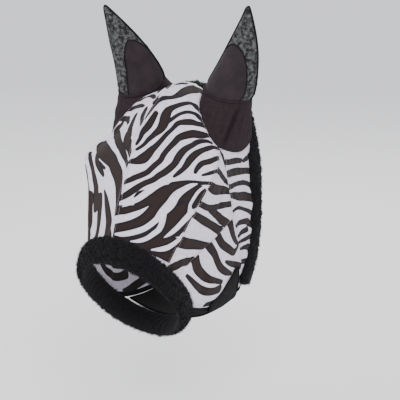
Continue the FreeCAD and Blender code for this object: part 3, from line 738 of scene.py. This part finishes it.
def puckered(place):
    """A panel's grid, creased inwards at its seams, with small puckers beside them and soft folds between."""
    gap = edge_distance(place)[..., None]
    normal = surface_normals(place)
    run = (steps(place, 0) + steps(place, 1))[..., None]
    beside_seam = np.exp(-((gap - 4) / 4) ** 2) * np.clip(gap / 3, 0, 1)
    pucker = PUCKER * np.sin(run * (2 * math.pi / PUCKER_PITCH)) * beside_seam
    fold = SOFT_FOLD * ripple(place, FOLD_WAVE, 3)[..., None] * np.clip(gap / 20, 0, 1) ** 2
    crease = SEAM_CREASE * np.exp(-(gap / 1.8) ** 2)
    return place + normal * (pucker + fold) + inward(place) * crease


def make_panels():
    """The eight printed mesh panels."""
    for kind, (net, width, length, area) in PANELS.items():
        flat = shape = grid(net, 4, *grid_size(net, SHEET_PITCH))
        sag = resampled(settled(grid(net, 4, *grid_size(net, CLOTH_PITCH))), *flat.shape[:2])
        shape = flat + sag * np.clip(edge_distance(flat) / SAG_FADE, 0, 1)[..., None]
        shape = puckered(shape)
        for side in ("left", "right"):
            outer = mirrored(shape) if side == "right" else shape
            printed = mirrored(flat) if side == "right" else flat
            stripe = panel_stripes(printed.reshape(-1, 3), kind, side == "right").reshape(outer.shape[:2])
            values = {"stripe": stripe[..., None] / ATTRIBUTE_UNIT, "cloth": cloth_coordinates(outer)}
            obj = skin(f"zebra_{kind}_{side}", outer, outer + inward(outer) * FABRIC, ZEBRA, values)
            belongs(obj, "mask", "zebra_mesh", f"{kind}_panel_{side}")


# ---------------------------------------------------------------- seams
def rod(name, path, radius, finish, flatten=1.0):
    """Round or flattened rod along a path."""
    tangent = unit(np.gradient(path, axis=0))
    side = unit(np.cross(tangent, -inward(path)))
    normal = unit(np.cross(side, tangent))
    angles = np.linspace(0, 2 * math.pi, ROD_SIDES, endpoint=False)[None, :, None]
    around = side[:, None] * np.cos(angles) + normal[:, None] * np.sin(angles) * flatten
    place = path[:, None] + around * radius
    cloth = np.zeros((len(path), ROD_SIDES, 3))
    cloth[..., 0] = np.arange(ROD_SIDES) * radius * .8
    cloth[..., 1] = steps(path[:, None], 0)
    return make_mesh(name, place.reshape(-1, 3), closed_faces(len(path), ROD_SIDES, True), finish,
                     {"cloth": cloth.reshape(-1, 3) * MM})


def stitches(name, rows, thread, pitch=3.4, length=2.3, radius=0.26):
    """Thread stitches along rows of points on the cloth, sunk in at both ends."""
    place, faces = [], []
    for path in rows:
        run = steps(path[:, None], 0)[:, 0]
        starts = np.arange(1.0, run[-1] - length, pitch)
        normal = -inward(path)
        for t, lift in ((0, -.15), (.5, .45), (1, -.15)):
            at_run = starts + t * length
            where = np.stack([np.interp(at_run, run, path[:, k]) for k in range(3)], -1)
            out = unit(np.stack([np.interp(at_run, run, normal[:, k]) for k in range(3)], -1))
            ahead = np.stack([np.interp(at_run + .5, run, path[:, k]) for k in range(3)], -1)
            side = unit(np.cross(ahead - where, out))
            size = radius if t == .5 else radius * .6
            middle = where + out * lift
            place.append(np.stack([middle + side * size, middle + out * size,
                                   middle - side * size, middle - out * size], 1))
    for k in range(0, len(place), 3):
        base = sum(len(p) * 4 for p in place[:k])
        count = len(place[k])
        for s in range(count):
            a, b, c = (base + (s + n * count) * 4 for n in range(3))
            faces += [(a, a + 1, a + 2, a + 3), (c + 3, c + 2, c + 1, c)]
            faces += [(p + j, p + (j + 1) % 4, q + (j + 1) % 4, q + j)
                      for p, q in ((a, b), (b, c)) for j in range(4)]
    place = np.concatenate([p.reshape(-1, 3) for p in place])
    obj = make_mesh(name, place, faces, thread, {"cloth": place * MM})
    return obj


def beside(net, column, inset, lift=0.2):
    """Points on a panel beside one of its edge columns, inset from it."""
    v = np.linspace(0, (len(net) - 1) // 4, SEAM_POINTS)
    edge = at(net, 4, np.full(SEAM_POINTS, float(column)), v)
    inner = at(net, 4, np.full(SEAM_POINTS, abs(column - .08)), v)
    place = edge + unit(inner - edge) * inset
    return place - inward(place) * lift


def tape(name, middle, toward_a, toward_b, cad_node):
    """Woven tape sewn behind a seam."""
    a, b = (middle + unit(toward - middle) * TAPE_HALF for toward in (toward_a, toward_b))
    net = points([a, middle, middle, b]).transpose(1, 0, 2)
    shape = grid(net, 4, *grid_size(net, TAPE_PITCH))
    rib = 0.12 * np.sin(steps(shape, 0) * 2.2)[..., None]
    outer, inner = (shape + inward(shape) * (depth + rib) for depth in (TAPE_FRONT, TAPE_BACK))
    obj = skin(name, outer, inner, TAPE_CLOTH, {"cloth": cloth_coordinates(shape)})
    belongs(obj, "mask", "binding", cad_node)


def make_seams():
    """Tapes behind the seams and rows of stitches beside them."""
    tape("centre_tape", CENTRE, FACE_NET[:, 1], mirrored(FACE_NET[:, 1]), "centre_seam_tape")
    row = beside(FACE_NET, 0, STITCH_INSET)
    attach(stitches("centre_stitches", [row, mirrored(row)], PALE_THREAD), "mask")
    seam_rows = [beside(net, column, STITCH_INSET)
                 for net, column in ((FACE_NET, 1), (EYE_NET, 0), (EYE_NET, 1), (JOWL_NET, 0))]
    seam_rows.append(beside(JOWL_NET, 1, REAR_STITCH_INSET))
    for side, flip in SIDES:
        tape(f"ridge_tape_{side}", flip(RIDGE), flip(FACE_NET[:9, 2]), flip(EYE_NET[:, 1]),
             f"eye_seam_tape_{side}")
        tape(f"fold_tape_{side}", flip(FOLD[:5]), flip(EYE_NET[:5, 2]), flip(CHEEK_NET[1]),
             f"cheek_seam_tape_{side}")
        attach(stitches(f"seam_stitches_{side}", [flip(row) for row in seam_rows], PALE_THREAD), "mask")


# ---------------------------------------------------------------- fleece
def with_pile(name, outer, inner, count, seed, longest, outward=None):
    """Closed roll with clumped pile and loose tufts standing out of it."""
    normal = surface_normals(outer) if outward is None else outward(outer)
    clump = ripple(outer, PILE_CLUMP, seed) + .6 * ripple(outer, PILE_CLUMP / 2.3, seed + 1)
    across = steps(outer, 1)
    soft = np.clip(np.minimum(across, across[:, -1:] - across) / 6, 0, 1)
    outer = outer + normal * (clump * soft * PILE_DEPTH)[..., None]
    obj = skin(name, outer, inner, PILE, {"tip": np.zeros((*outer.shape[:2], 1))})
    tufts = make_tufts(f"{name}_tufts", outer.reshape(-1, 3), normal.reshape(-1, 3), count, seed, longest)
    return obj, tufts


def make_tufts(name, roots, normals, count, seed, longest):
    """Short curved blades of pile, each a quad and a pointed tip."""
    rng = np.random.default_rng(seed)
    pick = rng.integers(0, len(roots), count)
    root = roots[pick] + rng.normal(size=(count, 3)) * .8 - normals[pick] * .6
    lean = unit(normals[pick] + rng.normal(size=(count, 3)) * .45 + .5 * ripple_vectors(root, seed))
    droop = unit(lean + (0, 0, -.35))
    length = rng.uniform(.5, 1, (count, 1)) * longest
    side = unit(np.cross(lean, rng.normal(size=(count, 3)))) * rng.uniform(.35, .6, (count, 1))
    middle, end = root + lean * length * .55, root + lean * length * .55 + droop * length * .45
    place = np.stack([root - side, root + side, middle + side * .75, middle - side * .75, end], 1)
    tip = np.tile((0.0, 0, .5, .5, 1), count)
    faces = []
    for base in range(0, count * 5, 5):
        faces += [(base, base + 1, base + 2, base + 3), (base + 3, base + 2, base + 4)]
    return make_mesh(name, place.reshape(-1, 3), faces, PILE, {"tip": tip})


def ripple_vectors(place, seed):
    """Directions that neighbouring tufts share."""
    return np.stack([ripple(place, 14, seed + k) for k in range(3)], -1)


def make_nose_roll():
    """Fleece roll round the nose, its lining, and the seam where the mesh runs into it."""
    w = ROLL_HALF_WIDTH
    middle = ring_net([(0, -w), (0, -w / 3), (0, w / 3), (0, w)])
    outside = ring_net([(0, -w), (ROLL_OUT, -w), (ROLL_OUT, w), (0, w)])
    inside = ring_net([(0, -w), (-ROLL_IN, -w), (-ROLL_IN, w), (0, w)])
    outer, core, lining = grids(3, PILE_PITCH, outside, middle, inside)
    obj, tufts = with_pile("nose_pile", outer, core, NOSE_TUFTS, NOSE_SEED, NOSE_TUFT_LENGTH)
    belongs(obj, "mask", "fleece", "nose_fleece")
    belongs(tufts, "mask", "fleece")
    quilt = QUILT * np.sin(steps(lining, 0) * (2 * math.pi / QUILT_PITCH))[..., None]
    arch = np.sin(np.linspace(0, math.pi, lining.shape[1]))[None, :, None]
    lining = lining + surface_normals(lining) * quilt * arch
    obj = skin("nose_knit", core, lining, LINING, {"cloth": cloth_coordinates(lining)})
    belongs(obj, "mask", "lining", "nose_lining")


def band(path, outwards, half_width, height_out, height_in, shift=0.0):
    """Outer and inner nets of a soft band along a path."""
    outer, inner = [], []
    for i, place in enumerate(path):
        tangent = unit(path[min(len(path) - 1, i + 1)] - path[max(0, i - 1)])
        side = unit(np.cross(tangent, outwards(place)))
        out = unit(np.cross(side, tangent))
        a, b = place + side * (shift - half_width), place + side * (shift + half_width)
        outer.append([a, a + out * height_out, b + out * height_out, b])
        inner.append([a, a - out * height_in, b - out * height_in, b])
    return points(outer), points(inner)


def from_trim_middle(place):
    """Outward direction of the rear trim: sideways at the cheek, up at the poll."""
    return unit(np.stack([place[..., 0] / 100, 0 * place[..., 0], (place[..., 2] + 200) / 240], -1))


def make_rear_trims():
    """Fleece trims from the throat up behind the cheeks and ears to the poll."""
    behind_ear, poll = points(EAR_REAR_EDGE)[1:], points(CENTRE_POLL)[-1]
    path = np.concatenate([REAR, behind_ear, [(behind_ear[-1] + poll) / 2, poll]])
    outer, inner = band(path, from_trim_middle, TRIM_HALF_WIDTH, TRIM_OUT, TRIM_IN, TRIM_SHIFT)
    outer[-1, :, 0] = inner[-1, :, 0] = 0
    outer, inner = grids(len(path) - 1, PILE_PITCH, outer, inner)
    for side, flip in SIDES:
        obj, tufts = with_pile(f"rear_pile_{side}", flip(outer), flip(inner), TRIM_TUFTS,
                               TRIM_SEED + (side == "right"), TRIM_TUFT_LENGTH, from_trim_middle)
        belongs(obj, "mask", "fleece", f"rear_trim_{side}")
        belongs(tufts, "mask", "fleece")


def make_jaw_bindings():
    """Bound lower edges of the cheek panels, with a row of stitches."""
    outwards = unit(points((1, 0, -.25)))
    outer, inner = band(JAW, lambda place: outwards, BINDING_HALF, BINDING_OUT, BINDING_IN)
    outer, inner = grids(4, BINDING_PITCH, outer, inner)
    rib = .15 * np.sin(steps(outer, 0) * 2.6)[..., None]
    outer = outer + surface_normals(outer) * rib
    row = outer[:, outer.shape[1] // 3] + (.2, 0, 0)
    values = {"cloth": cloth_coordinates(outer)}
    for side, flip in SIDES:
        obj = skin(f"jaw_edge_{side}", flip(outer), flip(inner), TAPE_CLOTH, values)
        belongs(obj, "mask", "binding", f"jaw_binding_{side}")
        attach(stitches(f"jaw_stitches_{side}", [flip(row)], THREAD), "mask")


# ---------------------------------------------------------------- ears
def half_ellipse(middle, side, front, width, depth):
    """Five control points of half an ellipse, from -side round by front to +side."""
    handle = 4 / 3 * math.tan(math.radians(90) / 4)
    return [middle - side * width, middle - side * width + front * depth * handle,
            middle + front * depth * (2 - handle), middle + side * width + front * depth * handle,
            middle + side * width]


def ear_frame(hand):
    """Axis, sideways and forward directions of an ear cover, drawn on the left side."""
    axis = unit(EAR_AXIS)
    side = unit(np.cross(axis, turned(EAR_FORWARD, axis, EAR_TURN[hand])))
    return axis, side, unit(np.cross(side, axis))


def ear_sections(hand):
    """Middle, half width and half depth of an ear cover at each height."""
    axis, side, _ = ear_frame(hand)
    shape = zip(EAR_HEIGHTS, EAR_SWAY[hand], EAR_HALF_WIDTHS, EAR_HALF_DEPTHS)
    return [(EAR_CENTRE + axis * (EAR_RIM_HEIGHT + height) + side * sway, width, depth)
            for height, sway, width, depth in shape]


def ear_net(hand, facing, thinner=0.0):
    """Net of half an ear cover. facing is 1 for the front and -1 for the back."""
    _, side, front = ear_frame(hand)
    return points([half_ellipse(middle, side, front * facing, width - thinner, depth - thinner)
                   for middle, width, depth in ear_sections(hand)])


def posed(place, hand):
    """Points of the left ear cover brought to an ear's rest pose, on that ear's own side."""
    moved = turned(place - EAR_CENTRE, (1, 0, 0), EAR_PITCH[hand])
    moved = turned(moved, (0, 1, 0), EAR_TILT[hand]) + EAR_CENTRE + EAR_SHIFT[hand]
    return moved if hand == "left" else mirrored(moved)


def on_rim(degrees, lift=0.0, radius=EAR_RIM_RADIUS + EAR_RIM_GAP, pull=0.0):
    """Point on the round root of the left ear cover."""
    axis, side, front = ear_frame("left")
    a = math.radians(degrees)
    out, on = side * math.cos(a) + front * math.sin(a), front * math.cos(a) - side * math.sin(a)
    return EAR_CENTRE + axis * (EAR_RIM_HEIGHT + lift) + (out + on * pull) * radius


def gusset_net(hand):
    """Net from the ear opening's edge to the ear cover's round root."""
    front_edge, rear_edge, low_edge = map(points, (EAR_FRONT_EDGE, EAR_REAR_EDGE, EAR_LOW_EDGE))
    bridge = points([low_edge[0] + (front_edge[0] - low_edge[0]) * i / 4 for i in range(5)])
    rows = []
    corners = zip((front_edge, rear_edge[::-1], low_edge[::-1], bridge), GUSSET_CORNERS, GUSSET_CORNERS[1:])
    for edge, start, end in corners:
        handle = 4 / 3 * math.tan(math.radians(end - start) / 4)
        arc = finer([on_rim(start), on_rim(start, pull=handle), on_rim(end, pull=-handle), on_rim(end)])
        net = between(edge if hand == "left" else mirrored(edge), posed(arc, hand))
        rows += list(net if not rows else net[1:])
    rows[-1] = rows[0]
    return points(rows)


def leaf_outline(hand):
    """The two sides of a leaf's outline as smooth rows of (u, t)."""
    rise, fall = (blended_rows(points(side), np.linspace(0, len(side) - 1, LEAF_POINTS))
                  for side in (LEAF_RISE, LEAF_FALL))
    return rise * (LEAF_SPREAD[hand], 1), fall * (LEAF_SPREAD[hand], 1)


def distance_to_leaf(place, path, t, u, hand):
    """Distance in mm from a grid's points to the leaf's outline, negative inside the leaf."""
    rise, fall = leaf_outline(hand)
    first = np.where(t < rise[0, 1], -1, np.interp(t, rise[:, 1], rise[:, 0]))
    last = np.where(t > rise[-1, 1], -1, np.interp(t, fall[::-1, 1], fall[::-1, 0]))
    inside = (u > first) & (u < last)
    gap = np.linalg.norm(place[:, :, None] - path[None, None], axis=3).min(2)
    return np.where(inside, -gap, gap)


def ear_skin(name, hand, facing):
    """Front or back of an ear cover: smooth leaf and creased see-through mesh."""
    net = ear_net(hand, facing)
    outer, inner = grids(len(net) - 1, EAR_SKIN_PITCH, net, ear_net(hand, facing, EAR_FABRIC))
    size = outer.shape[:2]
    t, u = np.linspace(0, 1, size[0])[:, None], np.linspace(0, 1, size[1])[None]
    outline = np.concatenate(leaf_outline(hand))
    outline = at(net, len(net) - 1, outline[:, 0], outline[:, 1])
    leaf = distance_to_leaf(outer, outline, t, u, hand) if facing == 1 else np.full(size, 5.0)
    crease = ripple(outer, 17, 5 + facing) * EAR_CREASE + ripple(outer, 8, 9) * EAR_FINE_CREASE
    fade = np.clip(leaf / 8, .25, 1) * np.clip(edge_distance(outer) / 7, 0, 1)
    normal = surface_normals(outer)
    row, column = size[0] // 3, size[1] // 2
    normal = normal * np.sign(normal[row, column] @ (outer[row, column] - outer[row, 0]))
    move = normal * (crease * fade)[..., None]
    values = {"leaf": leaf[..., None] / ATTRIBUTE_UNIT, "cloth": cloth_coordinates(outer)}
    obj = skin(name, posed(outer + move, hand), posed(inner + move, hand), EAR_CLOTH, values)
    return obj, np.delete(outline, LEAF_POINTS, axis=0)


def make_ears():
    """Gusset, front, back, edge binding and root seam of both ear covers."""
    for hand in ("left", "right"):
        body = f"ear_{hand}"
        axis, side, front = ear_frame(hand)
        _, outline = ear_skin_pair(hand, body)
        outline = posed(outline + front * .6, hand)
        braid = rod(f"ear_leaf_seam_{hand}", outline, LEAF_SEAM_RADIUS, TAPE_CLOTH, .8)
        belongs(braid, body, "binding")
        edge = [middle - side * width for middle, width, _ in ear_sections(hand)]
        edge += [ear_sections(hand)[-1][0] + axis * 2]
        edge += [middle + side * width for middle, width, _ in reversed(ear_sections(hand))]
        path = line(points(edge), len(edge) - 1, EAR_PATH_POINTS)[EAR_EDGE_START:-EAR_EDGE_START]
        binding = rod(f"ear_edge_{hand}", posed(path, hand), EAR_EDGE_RADIUS, TAPE_CLOTH, .7)
        belongs(binding, body, "binding", f"ear_binding_{hand}")
        ring = points([on_rim(a, 1.5, EAR_RIM_RADIUS + .4) for a in np.linspace(0, 360, 121)])
        rolled = rod(f"ear_root_seam_{hand}", posed(ring, hand), EAR_ROOT_RADIUS, GUSSET_CLOTH)
        belongs(rolled, body, "binding")
        make_gusset(hand)


def ear_skin_pair(hand, body):
    """Front and back of one ear cover; gives back the front and its leaf outline."""
    for facing, part in ((-1, "back"), (1, "front")):
        obj, outline = ear_skin(f"ear_cover_{part}_{hand}", hand, facing)
        belongs(obj, body, "ear_cloth" if part == "front" else "ear_mesh", f"ear_{part}_{hand}")
    return obj, outline


def make_gusset(hand):
    """Stretch cloth from the mask to the ear cover's round root, where the ear turns in it."""
    net = gusset_net(hand)
    shape = grid(net, 4, *grid_size(net, SKIRT_PITCH))
    t = np.linspace(0, 1, shape.shape[1])[None, :, None]
    turn = np.linspace(0, 2 * math.pi, len(shape))[:, None, None]
    gather = GATHER_DEPTH * np.sin(math.pi * t) * (np.sin(turn * GATHERS) + ripple(shape, 22, 31)[..., None])
    outer = shape - inward(shape) * gather
    obj = skin(f"ear_skirt_{hand}", outer, outer + inward(outer) * FABRIC, GUSSET_CLOTH,
               {"cloth": cloth_coordinates(shape)}, capped=False)
    belongs(obj, "mask", "ear_cloth", f"ear_gusset_{hand}")
    row = outer[:, 1] - inward(outer[:, 1]) * .4
    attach(stitches(f"ear_opening_stitches_{hand}", [row], THREAD), "mask")


# ---------------------------------------------------------------- throat closure
def above_cheek(u, v, height):
    """Point at a height over the left cheek panel. u runs back along the jaw, v down to it."""
    across, down = np.array((u, min(u + .01, 1), u)), np.array((v, v, min(v + .01, .999)))
    place, ahead, lower = at(CHEEK_NET, 4, across, down)
    if v + .01 > .999:
        lower = place * 2 - at(CHEEK_NET, 4, u, v - .01)[0]
    normal = unit(np.cross(ahead - place, lower - place))
    return place + normal * height * np.sign(normal[0])


def cheek_strip(level):
    """Net of a strip of tape that follows the left cheek at a height over it."""
    return points([[above_cheek(u, v, level) for v in np.linspace(top, STRIP_END, 4)]
                   for u, top in zip(STRIP_U, STRIP_TOP)])


def flap_net(height):
    """Net of the flap: lapped over the left cheek, then slung under the jaw to the right."""
    net = []
    for u, top in zip(STRIP_U, STRIP_TOP):
        edge = above_cheek(u, 1.0, 0)
        lap = [above_cheek(u, v, height) for v in np.linspace(top - FLAP_MARGIN, FLAP_LAP_END, 4)]
        net.append(lap + [(edge[0] * reach, edge[1], edge[2] - drop - height) for reach, drop in FLAP_SLUNG])
    return points(net)


def make_closure():
    """Loop strip on the left cheek, and the flap from the right with its hook strip."""
    for kind, level, body, finish in (("loop", LOOP_LEVEL, "mask", LOOP_TAPE),
                                      ("hook", HOOK_LEVEL, "flap", HOOK_TAPE)):
        outer, inner = grids(5, STRIP_PITCH, cheek_strip(level + STRIP_THICK), cheek_strip(level))
        rough = .12 * np.sin(steps(outer, 0) * 4)[..., None] * np.sin(steps(outer, 1) * 4)[..., None]
        values = {"cloth": cloth_coordinates(outer), "tip": np.full((*outer.shape[:2], 1), .3)}
        obj = skin(f"{kind}_pad", outer - inward(outer) * rough, inner, finish, values)
        belongs(obj, body, kind, f"{kind}_strip")
    outer, inner = grids(5, FLAP_PITCH, flap_net(FLAP_LEVEL + FLAP_FABRIC), flap_net(FLAP_LEVEL))
    soft = np.clip(edge_distance(outer) / 8, 0, 1)[..., None]
    puff = FLAP_PUFF * soft * (1 + .5 * ripple(outer, 30, 41)[..., None])
    shape = outer + unit(outer - inner) * puff
    obj = skin("throat_flap", shape, inner, FLAP_CLOTH, {"cloth": cloth_coordinates(outer)})
    belongs(obj, "flap", "flap_cloth", "closure_flap")
    edge = np.concatenate([outer[0], outer[1:, -1], outer[-1, ::-1][1:], outer[::-1, 0][1:]])
    trim = rod("throat_flap_edge", edge, FLAP_EDGE_RADIUS, TAPE_CLOTH, .8)
    belongs(trim, "flap", "binding")


# ---------------------------------------------------------------- camera, floor and lights
def aimed(name, data, place, aim):
    """New camera or light at a place, pointing at another."""
    obj = bpy.data.objects.new(name, data)
    obj.location = place
    obj.rotation_euler = (Vector(aim) - obj.location).to_track_quat("-Z", "Y").to_euler()
    bpy.context.scene.collection.objects.link(obj)
    return obj


def make_studio():
    """Camera, pale floor and soft lights."""
    camera = bpy.data.cameras.new("camera")
    camera.lens, camera.sensor_width = CAMERA_LENS, CAMERA_SENSOR
    bpy.context.scene.camera = aimed("camera", camera, CAMERA_PLACE, CAMERA_AIM)
    bpy.ops.mesh.primitive_plane_add(size=FLOOR_SIZE, location=(0, 0, FLOOR_HEIGHT))
    floor = bpy.context.object
    floor.name = "studio_floor"
    floor.data.materials.append(material("floor_paint", (.9, .9, .9), .7, 0)[0])
    world = bpy.data.worlds.new("studio")
    world.use_nodes = True
    sky = world.node_tree.nodes["Background"].inputs
    sky["Color"].default_value = (.95, .96, 1, 1)
    sky["Strength"].default_value = 1.2
    bpy.context.scene.world = world
    for name, place, energy, size in LIGHTS:
        light = bpy.data.lights.new(name, "AREA")
        light.energy, light.size = energy, size
        aimed(name, light, place, LIGHT_AIM)


make_panels()
make_seams()
make_nose_roll()
make_rear_trims()
make_jaw_bindings()
make_ears()
make_closure()
make_studio()
